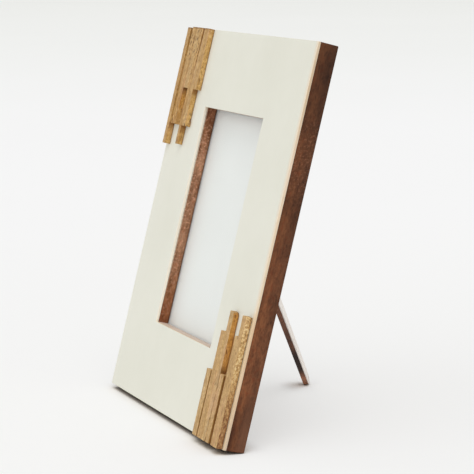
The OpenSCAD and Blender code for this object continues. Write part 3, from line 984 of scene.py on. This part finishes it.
def torn(strip, spot):
    """How torn the grain is: at the top of three upper strips, and at the low end of two."""
    amount = 0.0
    if strip.node in TORN_TOPS:
        most, start, full = TORN_TOPS[strip.node]
        amount = most * part_way(strip.high - spot.z, start, full)
    if strip.node in TORN_LOW_ENDS:
        most, start, full = TORN_LOW_ENDS[strip.node]
        amount = max(amount, most * part_way(spot.z - strip.low, start, full))
    return amount


def paint_value(piece, name, amount):
    """Stores a value for each point, as an attribute that the bare wood reads."""
    stored = piece.data.attributes.new(name, "FLOAT", "POINT")
    for vertex in piece.data.vertices:
        stored.data[vertex.index].value = amount(vertex.co)


def make_strip(strip):
    """A split and glued strip: cut into slices, its edges rounded and its faces pressed uneven."""
    piece = block(
        strip.node + "_wood", (strip.left, -FRAME_T - strip.height, strip.low),
        (strip.right, -FRAME_T, strip.high))
    if strip.node == "lower_strip_3":
        round_top_corner(piece, strip)
    if strip.node == "upper_strip_1":
        lean_in_low_end(piece, strip)
    if strip.node == "upper_strip_5":
        open_wedge(piece, strip)
    for axis, spacing in SLICES:
        cut_across(piece, axis, spacing)
    if strip.node == "upper_strip_5":
        swell_low_corner(piece, strip)
    soften(piece, STRIP_EDGE)
    depth = CHIPPED_DEPTH if strip.side == "chipped" else HOLLOW_DEPTH
    roughen(piece, HOLLOW_WIDTH, depth, strip.node + " hollows")
    front, side = range(2)
    set_slots(
        piece, (TAN_FRONT, SIDE_WOODS[strip.side]),
        lambda normal: side if abs(normal.x) > 0.6 else front)
    paint_value(piece, "shade", lambda spot: gap_shade(strip, spot))
    paint_value(piece, "warmth", lambda spot: warmth(strip, spot))
    paint_value(piece, "torn", lambda spot: torn(strip, spot))
    settle(piece, STAND)
    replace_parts(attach(piece, "frame"), strip.node)


def round_top_corner(piece, strip):
    """Rounds the strip's upper right corner, as if sanded over."""
    radius = 3.6 * MM
    edit(piece)
    pick("EDGE", lambda edge: runs_along(Y)(edge) and middle_of(edge).x > strip.right - MM
         and middle_of(edge).z > strip.high - MM)
    bpy.ops.mesh.bevel(offset=radius, segments=8, affect="EDGES")
    deselect()


def lean_in_low_end(piece, strip):
    """Moves the strip's lower left corner in, as it is a little narrower there."""
    inset = 0.8 * MM
    edit(piece)
    pick("VERT", lambda vertex: vertex.co.x < strip.left + MM and vertex.co.z < strip.low + MM)
    bpy.ops.transform.translate(value=(inset, 0, 0))
    deselect()


def open_wedge(piece, strip):
    """Cuts the thin wedge that opens towards the top along the strip's left side."""
    length, mouth = 32 * MM, 2.4 * MM
    edit(piece)
    bpy.ops.mesh.select_all(action="SELECT")
    bpy.ops.mesh.bisect(plane_co=(0, 0, strip.high - length), plane_no=(0, 0, 1))
    pick("VERT", lambda vertex: vertex.co.x < strip.left + MM and vertex.co.z > strip.high - MM)
    bpy.ops.transform.translate(value=(mouth, 0, 0))
    deselect()


def swell_low_corner(piece, strip):
    """Pushes out a small lump at the strip's lower right end."""
    length, height, swelling = 4 * MM, 3.2 * MM, 0.7 * MM
    edit(piece)
    pick("VERT", lambda vertex: vertex.co.x > strip.right - SIDE_SKIN
         and vertex.co.z < strip.low + length and vertex.co.y > -FRAME_T - height)
    bpy.ops.transform.translate(value=(swelling, 0, 0))
    deselect()


def make_strips():
    for strip in STRIPS:
        make_strip(strip)


# The leg


def make_leg_layer(node, low, high, material):
    """A tapered bar with a round foot.

    It is a block that is narrowed at its far end, whose two corners there are then rounded.
    """
    half = LEG_TOP_W / 2
    foot = LEG_FOOT_W / 2
    piece = block(node + "_wood", (-half, LEG_START, low), (half, LEG_REACH, high))
    edit(piece)
    pick("FACE", lambda face: face.normal.y > 0.9)
    bpy.ops.transform.resize(
        value=(foot / half, 1, 1), center_override=(0, LEG_REACH, (low + high) / 2))
    pick("EDGE", lambda edge: runs_along(Z)(edge) and edge.verts[0].co.y > LEG_REACH - MM)
    bpy.ops.mesh.bevel(offset=foot * FOOT_ROUNDING, segments=14, affect="EDGES")
    weld()
    deselect()
    soften(piece, LEG_EDGE, segments=2)
    set_slots(piece, (material,), lambda normal: 0)
    settle(piece, LEG)
    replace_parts(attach(piece, "leg"), node)


def make_leg():
    outside = LEG_INNER + LEG_CORE_T
    make_leg_layer("leg_core", LEG_INNER, outside, LEG_BROWN_SHADED)
    make_leg_layer("leg_face", outside, outside + LEG_FACE_T, LEG_PALE)


# Hardware and filling


def soften_node(node, body, material, width):
    """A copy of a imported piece, merged into whole faces, with its edges softened."""
    use(frame["nodes"][node])
    bpy.ops.object.duplicate()
    piece = bpy.context.object
    piece.name = node + "_finished"
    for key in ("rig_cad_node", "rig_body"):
        if key in piece:
            del piece[key]
    piece.parent = None
    edit(piece)
    weld(0.002 * MM)
    bpy.ops.mesh.dissolve_limited(angle_limit=radians(0.5))
    deselect()
    soften(piece, width, segments=2, clamp=False)
    set_slots(piece, (material,), lambda normal: 0)
    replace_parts(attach(piece, body), node)


def make_hardware():
    for node in ("hinge_plate", "hinge_screws", "button_screws"):
        soften_node(node, "frame", BRASS, BRASS_EDGE)
    soften_node("hinge_pin", "frame", STEEL, PIN_EDGE)
    soften_node("hinge_flap", "leg", BRASS, FLAP_EDGE)
    soften_node("leg_screws", "leg", BRASS, BRASS_EDGE)
    for side in ("top", "bottom", "left", "right"):
        soften_node("button_" + side, "button_%s_body" % side, BRASS, BUTTON_EDGE)
    soften_node("backing_board", "frame", BOARD, BOARD_EDGE)


def make_glass():
    """The pane, a hair clear of its seats, with ground edges."""
    clear = 0.02 * MM
    half = WINDOW_W / 2 + LIP_W - FILLING_GAP
    low = WINDOW_UP - LIP_W + FILLING_GAP
    high = WINDOW_UP + WINDOW_H + LIP_W - FILLING_GAP
    front = clear - REBATE_T
    back = GLASS_T - REBATE_T - clear
    piece = block("glass_pane", (-half, front, low), (half, back, high))
    apply_modifier(piece, "BEVEL", width=GLASS_EDGE, segments=2)
    set_slots(piece, (GLASS,), lambda normal: 0)
    settle(piece, STAND)
    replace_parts(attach(piece, "frame"), "glass")


def finish_node(node, material):
    """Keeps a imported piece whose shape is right, and gives it its finish."""
    mesh = frame["nodes"][node].data
    mesh.materials.clear()
    mesh.materials.append(material)


# Stage


def open_air(finish, reach, direction):
    """How open the floor lies towards a direction, from 0 under the object to 1 clear of it."""
    normal = finish.node("CombineXYZ", dict(zip("XYZ", direction))).outputs["Vector"]
    inputs = {"Distance": reach, "Normal": normal}
    return finish.node("AmbientOcclusion", inputs, samples=8).outputs["AO"]


def make_floor():
    """A wide pale floor.

    What the camera sees of it is partly the paper's own glow, so that the shadows stay faint.
    Close under the object its colour holds painted shade.
    """
    deselect()
    bpy.ops.mesh.primitive_circle_add(vertices=96, radius=FLOOR_RADIUS, fill_type="NGON")
    floor = bpy.context.object
    floor.name = "floor"
    finish = Finish("floor paper", Roughness=0.9)
    spot = finish.node("TexCoord").outputs["Object"]
    clouds = finish.noise(spot, scale=1.5, detail=2)
    near = open_air(finish, CONTACT_REACH, (0.46, 0.06, 0.88))
    wide = open_air(finish, WIDE_REACH, (0.75, -0.2, 0.63))
    paper = finish.ramp(clouds, (0.3, tone(248, 248, 248)), (0.7, tone(250, 250, 250)))
    # painted shade: the floor's colour darkens close under the object, where the occlusion is low
    floor_painted_shade = finish.ramp(near, (0.1, tone(98, 84, 66)), (0.5, tone(255, 252, 246)), (0.8, WHITE))
    finish.colour(finish.tinted(paper, floor_painted_shade))
    away = finish.node("VectorMath", {0: spot}, operation="LENGTH").outputs["Value"]
    fading = finish.ramp(
        finish.level(away, 0, 10), (0.0, tone(247, 247, 245)), (0.1, tone(249, 249, 249)),
        (0.2, tone(248, 248, 248)), (0.42, tone(240, 241, 238)), (0.85, tone(*BACKDROP)))
    # painted shade: the glow turns warmer close under the object
    warm = finish.ramp(near, (0.3, tone(255, 246, 230)), (0.85, WHITE))
    inputs = {"Color": finish.tinted(fading, warm), "Strength": 1.0}
    glow = finish.node("Emission", inputs).outputs["Emission"]
    share = finish.times(finish.level(near, 0.22, 1.0, 0, FLOOR_SHARE), near)
    share = finish.times(share, finish.level(wide, 0.4, 0.95, 0.72, 1.0))
    seen = finish.times(share, finish.seen_directly())
    finish.show(finish.mix_shaders(seen, finish.shader.outputs["BSDF"], glow))
    floor.data.materials.append(finish.material)


def make_world():
    """Even light from all round, and a pale backdrop for what is seen past the floor."""
    world = bpy.data.worlds.new("studio")
    bpy.context.scene.world = world
    world.use_nodes = True
    world.node_tree.nodes.clear()
    sky = Nodes(world.node_tree)
    light = sky.node("Background", {"Color": (1, 1, 1, 1), "Strength": WORLD_LIGHT})
    backdrop = sky.node("Background", {"Color": tone(*BACKDROP)})
    mixed = sky.mix_shaders(sky.seen_directly(), light.outputs[0], backdrop.outputs[0])
    sky.node("OutputWorld", {"Surface": mixed})


def add_softbox(name, direction, strength, width):
    """A soft lamp that shines from a direction; the wider it looks, the softer its shadows."""
    deselect()
    direction = Vector(direction).normalized()
    bpy.ops.object.light_add(type="SUN", location=direction * LAMP_AWAY)
    lamp = bpy.context.object
    lamp.name = name
    lamp.rotation_euler = direction.to_track_quat("Z", "Y").to_euler()
    lamp.data.energy = strength
    lamp.data.angle = radians(width)


def add_camera():
    deselect()
    bpy.ops.object.camera_add(location=CAMERA_AT)
    camera = bpy.context.object
    look = Vector((
        -sin(CAMERA_TURN) * cos(CAMERA_DOWN),
        cos(CAMERA_TURN) * cos(CAMERA_DOWN),
        -sin(CAMERA_DOWN),
    ))
    camera.rotation_euler = look.to_track_quat("-Z", "Y").to_euler()
    camera.data.sensor_width = SENSOR_W
    camera.data.lens = CAMERA_LENS
    camera.data.clip_start = 0.01
    camera.data.clip_end = 100
    bpy.context.scene.camera = camera


add_camera()
make_world()
make_floor()
add_softbox("overhead softbox", (0.45, -0.1, 1.0), strength=0.82, width=36)
add_softbox("front softbox", (0.35, -0.85, 0.4), strength=0.7, width=80)

make_core()
make_panel()
make_strips()
make_leg()
make_hardware()
make_glass()
finish_node("card", CARD)

bpy.context.scene.view_settings.view_transform = "Standard"
